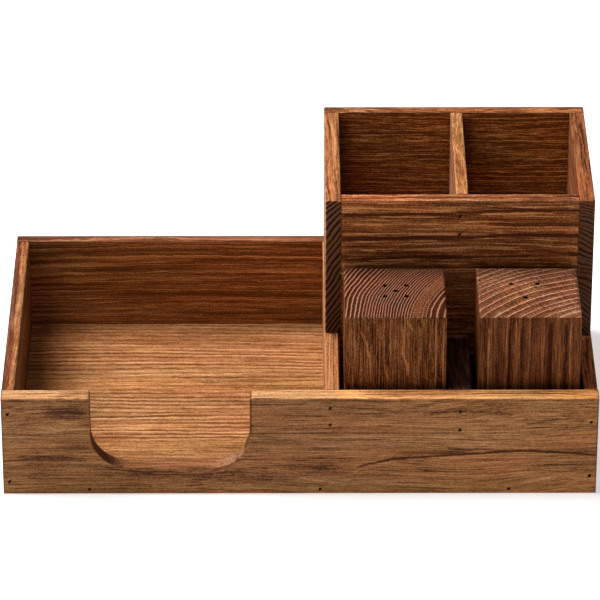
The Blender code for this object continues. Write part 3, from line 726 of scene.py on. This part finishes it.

# Places on the other boards that differ in colour
# Painted light: the divider's left face coloured apart for how the light falls on it
DIVIDER_LEFT_LIGHT = ((0, 0.0906, 0.0902),)
LEFT_OUTER = ((0, -0.1666, -0.1674),)
LEFT_INNER_TOP = (*TOP_FACE, (0, -0.1668, -0.1660))
REAR_INSIDE = (1, 0.0950, 0.0930)
REAR_OUTSIDE = ((1, 0.0950, 0.0960),)
# Painted shadow of the left wall on the inside of the tray's rear board
REAR_LEFT_END_SHADOW = ((0, -0.1300, -0.1580), (2, 0.0633, 0.0620), REAR_INSIDE)
# Painted shadow of the left wall on the tray floor
FLOOR_LEFT_SHADOW = ((0, -0.1250, -0.1450), (0, -0.1590, -0.1530))
# Painted shadow of the left wall and of the divider on the box's rear board
LEFT_CORNER_SHADOW = ((0, 0.0340, 0.0245), (2, 0.1490, 0.1440), REAR_INSIDE)
MIDDLE_CORNER_SHADOW = ((0, 0.1075, 0.0980), (0, 0.0930, 0.0940), (2, 0.1490, 0.1440), REAR_INSIDE)
REAR_LEFT = ((0, 0.0980, 0.0900), REAR_INSIDE)
REAR_RIGHT = ((0, 0.0900, 0.0980), REAR_INSIDE)
FLOOR_BOLD = ((0.600, 0.50), (0.636, 0.50), (0.641, 0.12), (0.651, 0.12), (0.656, 1.0), (0.708, 1.0),
              (0.713, 0.25), (0.722, 0.25), (0.727, 1.0), (0.758, 1.0), (0.764, 0.45), (0.800, 0.45))
FLOOR_LIGHT_BAND = ((1, -0.0640, -0.0600), (1, -0.0470, -0.0510))
FLOOR_MIDDLE_BAND = ((1, 0.0050, 0.0100), (1, 0.0270, 0.0220))

# The shakers: end grain on top, pouring holes, and the wavy figure on the salt shaker's front
SHAKER_TOP = ((2, 0.1080, 0.1086),)
NEAR_FRONT = ((1, -0.0790, -0.0820),)
SALT_HOLES = ((0.0487, -0.0473), (0.0487, -0.0598), (0.05490, -0.05355), (0.0611, -0.0598),
              (0.0611, -0.0473))
PEPPER_HOLES = ((0.1363, -0.0454), (0.1211, -0.0454), (0.1287, -0.06145))
SALT_RINGS = ((0.0600, -2.5), (0.0721, 0.0), (0.0756, 1.0), (0.0800, 3.0), (0.0850, 6.0), (0.1000, 15.0),
              (0.1120, 22.5), (0.1180, 25.5), (0.1320, 31.0), (0.1420, 35.5))
SALT_BOLD = ((0.060, 0.85), (0.0765, 0.85), (0.080, 0.12), (0.086, 0.35), (0.090, 1.0), (0.114, 0.9),
             (0.120, 1.0), (0.142, 1.0))
PEPPER_RINGS = ((0.0600, -1.8), (0.0741, 1.0), (0.0793, 2.0), (0.0845, 3.0), (0.0884, 4.0), (0.0936, 5.0),
                (0.0988, 6.0), (0.1052, 7.0), (0.1105, 8.0), (0.1165, 9.0), (0.1215, 10.0),
                (0.1260, 11.0), (0.1292, 12.0), (0.1327, 13.0), (0.1368, 14.0), (0.1410, 15.0),
                (0.1480, 16.5))
SALT_SMUDGE = (*SHAKER_TOP, (0, 0.0400, 0.0470), (0, 0.0640, 0.0560), (1, -0.0740, -0.0680),
               (1, -0.0400, -0.0480))
PEPPER_GOLD = (*SHAKER_TOP, (0, 0.1120, 0.1220), (0, 0.1420, 0.1300), (1, -0.0780, -0.0660),
               (1, -0.0400, -0.0500))
SALT_FLAMES = tuple(
    Streak(path, width, darkness, 0.008, axis=0, within=NEAR_FRONT) for path, width, darkness in (
        (((0.0680, 0.0590), (0.0730, 0.0612), (0.0793, 0.0603), (0.0864, 0.0585), (0.0927, 0.0589),
          (0.1050, 0.0555)), 0.0012, -0.77),
        (((0.0970, 0.0655), (0.1000, 0.0645), (0.1052, 0.0612), (0.1090, 0.0600)), 0.0012, -0.73),
        (((0.0680, 0.0405), (0.0757, 0.0402), (0.0820, 0.0397), (0.0909, 0.0379), (0.0981, 0.0352),
          (0.1050, 0.0322)), 0.0013, -0.55),
        (((0.0640, 0.0515), (0.0694, 0.0504), (0.0748, 0.0487), (0.0770, 0.0475)), 0.0012, -0.63),
        (((0.0640, 0.0760), (0.0677, 0.0737), (0.0712, 0.0683), (0.0740, 0.0660)), 0.0012, -0.55),
        (((0.0620, 0.0432), (0.0800, 0.0434), (0.1000, 0.0415), (0.1090, 0.0408)), 0.0028, 0.22),
        (((0.0600, 0.0262), (0.0850, 0.0264), (0.1090, 0.0262)), 0.0018, 0.30),
        (((0.0600, 0.0788), (0.0850, 0.0788), (0.1090, 0.0785)), 0.0010, 0.42),
        (((0.0600, 0.0772), (0.0850, 0.0772), (0.1090, 0.0768)), 0.0008, -0.63),
        (((0.0600, 0.0815), (0.0850, 0.0815), (0.1090, 0.0812)), 0.0009, -0.63)))
PEPPER_STRIPES = tuple(
    Streak(((0.0000, place), (0.0600, place + 0.0004), (0.1090, place)), width, darkness, axis=0,
           within=NEAR_FRONT) for place, width, darkness in (
        (0.1022, 0.0018, 0.30), (0.1068, 0.0009, -0.60), (0.1186, 0.0011, 0.60), (0.1222, 0.0022, -0.30),
        (0.1292, 0.0022, -0.14), (0.1372, 0.0020, -0.12), (0.1417, 0.0026, 0.34),
        (0.1505, 0.0012, 0.60), (0.1533, 0.0008, -0.55)))

BOARDS = {
    "front_board": Oak("x", (-0.0200, -0.2200), (0.244, 0.104, 0.037), ring=0.0042, wander=0.006,
                       vein=0.07, vein_width=0.30, strand=0.08, thread=0.11, glint=0.06, fibre=0.23,
                       fine=600.0, hair=0.42, pore=0.30, run=0.4, spread=45.0,
                       dark=(0.19, 0.15, 0.12), warm=(1.07, 0.98, 0.93), streaks=FRONT_STREAKS,
                       tints=(Tint(TOP_FACE, (2.12, 2.41, 2.73)),
                              # painted light against the shadow of the box and the shakers
                              Tint(TOP_RIGHT_PAINTED_LIGHT, (1.48, 1.40, 1.20)),
                              Tint(TOP_LEFT_END, (0.86, 0.85, 0.88)),
                              Tint(TOP_RIGHT_END_PAINTED_LIGHT, (1.23, 1.13, 0.95)),
                              Tint(LEFT_BEND, (0.34, 0.28, 0.28), 0.0012, sawn=True),
                              # painted highlight on the right bend
                              Tint(RIGHT_BEND_HIGHLIGHT, (1.02, 1.14, 1.60), 0.0010, sawn=True),
                              Tint(SILL, (1.25, 1.25, 1.45), 0.0010, sawn=True),
                              Tint(RIGHT_CHEEK, (0.40, 0.34, 0.34), sawn=True),
                              Tint(FRONT_FACE_RIGHT, (1.22, 1.23, 1.15)),
                              Tint(FRONT_FACE_LEFT, (0.96, 1.00, 0.97)),
                              Tint(OLIVE_BAND, (0.98, 1.04, 0.88), 0.0010),
                              Tint(RED_FOOT, (1.06, 0.86, 0.86), 0.0005),
                              # painted shade along the notch's edge
                              Tint(NOTCH_EDGE_SHADE, (0.45, 0.40, 0.40), 0.0002),
                              Tint(LEFT_EDGE, (0.55, 0.48, 0.48), 0.0002),
                              Tint(RIGHT_EDGE, (0.50, 0.45, 0.45), 0.0002))),
    "rear_board": Oak("x", (0.0200, -0.2300), (0.360, 0.155, 0.0470), ring=0.0056, drift=0.25,
                      wander=0.0015, shiver=0.0006, vein=-0.58, vein_width=0.11, vein_rise=0.06,
                      even=0.6, strand=0.03, thread=0.20, glint=0.22, fibre=0.36, fine=500.0,
                      cloud=0.03, grit=0.30, run=0.6, dark=(0.34, 0.28, 0.24), warm=(1.08, 0.97, 0.90),
                      tints=(Tint(TOP_FACE, (0.55, 0.47, 0.64)),
                             # painted shadow of the left wall
                             Tint(REAR_LEFT_END_SHADOW, (0.80, 0.78, 0.90)),
                             Tint(REAR_OUTSIDE, (0.80, 0.83, 0.95)))),
    "left_wall": Oak("y", (-0.4500, -0.0600), (0.187, 0.090, 0.032), ring=0.0034, run=1.4,
                     strand=0.14, dark=(0.45, 0.38, 0.34), sawn=(1.17, 0.87, 0.77), streaks=(RIM_LINE,),
                     tints=(Tint(LEFT_OUTER, (0.58, 0.53, 0.86), 0.0006),
                            Tint(LEFT_INNER_TOP, (1.26, 1.36, 1.62), 0.0004))),
    "right_wall": Oak("y", (0.3600, -0.1000), (0.480, 0.165, 0.058), run=2.0),
    "tray_floor": Oak("x", (-0.7000, -0.0500), (0.304, 0.131, 0.045), ring=0.0044,
                      shiver=0.0009, drift=0.15, vein=0.62, vein_width=0.55, vein_rise=0.18,
                      bold=FLOOR_BOLD, even=0.7, strand=0.10, thread=0.10, glint=0.18, fibre=0.30,
                      fine=330.0, hair=0.30, run=0.7, dark=(0.42, 0.34, 0.28), end_shade=UNCHANGED,
                      warm=(1.07, 0.96, 0.98),
                      tints=(Tint(FLOOR_LIGHT_BAND, (1.10, 1.12, 1.06), 0.0008),
                             Tint(FLOOR_MIDDLE_BAND, (1.06, 1.08, 1.02), 0.0008),
                             # painted shadow of the left wall
                             Tint(FLOOR_LEFT_SHADOW, (0.83, 0.75, 0.66)))),
    "tray_divider": Oak("y", (0.3100, -0.0600), (0.359, 0.165, 0.067), ring=0.0034, fibre=0.20,
                        hair=0.15, thread=0.15),
    "pocket_spacer": Oak("y", (0.1500, -0.2500), (0.111, 0.046, 0.031)),
    "box_left_wall": Oak("y", (0.1720, 0.0010), (0.312, 0.126, 0.046), drift=0.3,
                         run=1.4, even=0.7, strand=0.14, vein=0.18, vein_width=0.55,
                         dark=(0.22, 0.17, 0.15), end_shade=(0.23, 0.19, 0.18), end_veins=18.0),
    "box_right_wall": Oak("y", (0.0950, -0.0200), (0.226, 0.075, 0.027), ring=0.0026, run=1.4,
                          strand=0.14, vein=0.18, vein_width=0.50, dark=(0.24, 0.19, 0.17),
                          end_shade=(0.28, 0.27, 0.26), end_veins=10.0, streaks=(BOX_RIGHT_LINE,)),
    "box_front_board": Oak("x", (0.0300, -0.2500), (0.233, 0.074, 0.0187), ring=0.0042, shiver=0.0005,
                           vein=0.22, vein_width=0.45, even=0.6, glint=0.34, strand=0.20,
                           thread=0.16, cloud=0.10, grit=0.34, hair=0.50, run=0.5,
                           dark=(0.26, 0.21, 0.18), light=(2.40, 3.40, 5.00), streaks=BOX_FRONT_STREAKS,
                           tints=(Tint(BOX_TOP_FACE, (1.29, 1.35, 1.86)),)),
    "box_rear_board": Oak("x", (0.0400, -0.2000), (0.450, 0.190, 0.0500), drift=0.35,
                          shiver=0.0006, vein=-0.80, vein_width=0.20, vein_rise=0.10, even=0.25,
                          strand=0.10, thread=0.28, glint=0.30, fibre=0.34, fine=500.0, cloud=0.06,
                          grit=0.34, hair=0.60, run=1.2, dark=(0.34, 0.28, 0.24),
                          tints=(Tint(BOX_TOP_FACE, (0.67, 0.65, 0.93)),
                                 Tint(REAR_LEFT, (1.06, 1.02, 1.02)),
                                 Tint(REAR_RIGHT, (1.18, 1.14, 1.06)),
                                 # painted shadow of the walls in both compartments
                                 Tint(LEFT_CORNER_SHADOW, (0.45, 0.45, 0.55)),
                                 Tint(MIDDLE_CORNER_SHADOW, (0.45, 0.45, 0.55)),
                                 Tint(REAR_OUTSIDE, (0.70, 0.73, 0.90)))),
    "box_mid_divider": Oak("y", (0.0930, 0.0500), (0.345, 0.152, 0.056), ring=0.0036, wander=0.006,
                           shiver=0.0005, run=1.4, vein=0.12, strand=0.06, thread=0.14, cloud=0.04,
                           hair=0.50, dark=(0.45, 0.38, 0.34),
                           # painted light on the left face
                           tints=(Tint(DIVIDER_LEFT_LIGHT, (0.86, 0.86, 1.12)),)),
    "salt_shaker_body": Oak("z", (0.1500, -0.0880), (0.149, 0.0465, 0.0117), growth=SALT_RINGS,
                            bold=SALT_BOLD, drift=0.06, wander=0.0012, vein=-0.30,
                            vein_width=0.40, even=0.8, strand=0.10, thread=0.06, fibre=0.76,
                            fine=1000.0, hair=0.42, ray=0.26, run=2.2, light=(2.20, 2.80, 4.20),
                            warm=(1.07, 0.98, 0.95), end_shade=UNCHANGED, end_veins=7.0, grit=0.48,
                            wear_and_highlight=1.08, gloss=DRY_GLOSS, holes=SALT_HOLES, streaks=SALT_FLAMES,
                            tints=(Tint(SHAKER_TOP, (1.12, 1.22, 1.95)),
                                   Tint(SALT_SMUDGE, (0.80, 0.88, 1.04), 0.0030))),
    "pepper_shaker_body": Oak("z", (0.1880, -0.1460), (0.136, 0.0432, 0.0125), growth=PEPPER_RINGS,
                              drift=0.04, wander=0.0012, vein=-0.24, vein_width=0.16,
                              vein_rise=0.07, even=0.75, band=0.16, strand=0.12, thread=0.06,
                              fibre=0.44, fine=900.0, hair=0.30, ray=0.22, run=1.6,
                              light=(2.40, 2.90, 3.60), warm=(1.07, 0.98, 0.95), end_shade=UNCHANGED,
                              end_veins=3.3, grit=0.30, wear_and_highlight=1.08, gloss=DRY_GLOSS,
                              holes=PEPPER_HOLES, streaks=PEPPER_STRIPES,
                              tints=(Tint(SHAKER_TOP, (1.99, 2.60, 4.53)),
                                     Tint(PEPPER_GOLD, (1.18, 1.18, 0.98), 0.0030))),
}


def dress(node, material):
    """Gives a piece of the frame its finish."""
    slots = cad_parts[node].data.materials
    slots.clear()
    slots.append(material)


def dress_all():
    for seed, (node, oak) in enumerate(BOARDS.items(), start=1):
        dress(node, oak_finish(node, oak, seed))
    brad = brad_finish()
    rubber = rubber_finish()
    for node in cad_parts:
        if node.startswith("brad_"):
            dress(node, brad)
        elif node.endswith("_stopper"):
            dress(node, rubber)


def lay_floor():
    """A pale sheet under the caddy, much wider than the view."""
    bpy.ops.mesh.primitive_plane_add(size=FLOOR_SIDE, location=(0.0, 0.0, 0.0))
    floor = bpy.context.object
    floor.name = "pale_floor"
    floor.data.materials.append(floor_finish())


def hang_softbox(name, place, aim, size, power):
    """A lamp with a wide soft face, turned to a point."""
    lamp = bpy.data.lights.new(name, "AREA")
    lamp.shape = "RECTANGLE"
    lamp.size, lamp.size_y = size
    lamp.energy = power
    softbox = bpy.data.objects.new(name, lamp)
    way = Vector(aim) - Vector(place)
    softbox.matrix_world = Matrix.Translation(place) @ way.to_track_quat("-Z", "Y").to_matrix().to_4x4()
    bpy.context.scene.collection.objects.link(softbox)


def light_studio():
    """A broad box overhead, to the left and the rear, a weak fill in front, and a white room."""
    hang_softbox("overhead_softbox", *OVERHEAD)
    hang_softbox("front_fill", *FILL)
    world = bpy.data.worlds.new("white_room")
    world.use_nodes = True
    room = world.node_tree.nodes["Background"]
    room.inputs["Color"].default_value = (*ROOM_WHITE, 1.0)
    room.inputs["Strength"].default_value = ROOM_LIGHT
    bpy.context.scene.world = world
    bpy.context.scene.view_settings.view_transform = "Standard"


def set_camera():
    """The photograph's view: a long lens from the front and above."""
    eye = bpy.data.cameras.new("camera")
    eye.lens = CAMERA_LENS
    eye.sensor_width = CAMERA_SENSOR
    eye.clip_end = CAMERA_FAR
    camera = bpy.data.objects.new("camera", eye)
    camera.matrix_world = (Matrix.Translation(CAMERA_PLACE)
                           @ Matrix.Rotation(-CAMERA_YAW, 4, "Z")
                           @ Matrix.Rotation(math.pi / 2 - CAMERA_PITCH, 4, "X")
                           @ Matrix.Rotation(CAMERA_ROLL, 4, "Z"))
    bpy.context.scene.collection.objects.link(camera)
    bpy.context.scene.camera = camera


set_camera()
lay_floor()
light_studio()
dress_all()
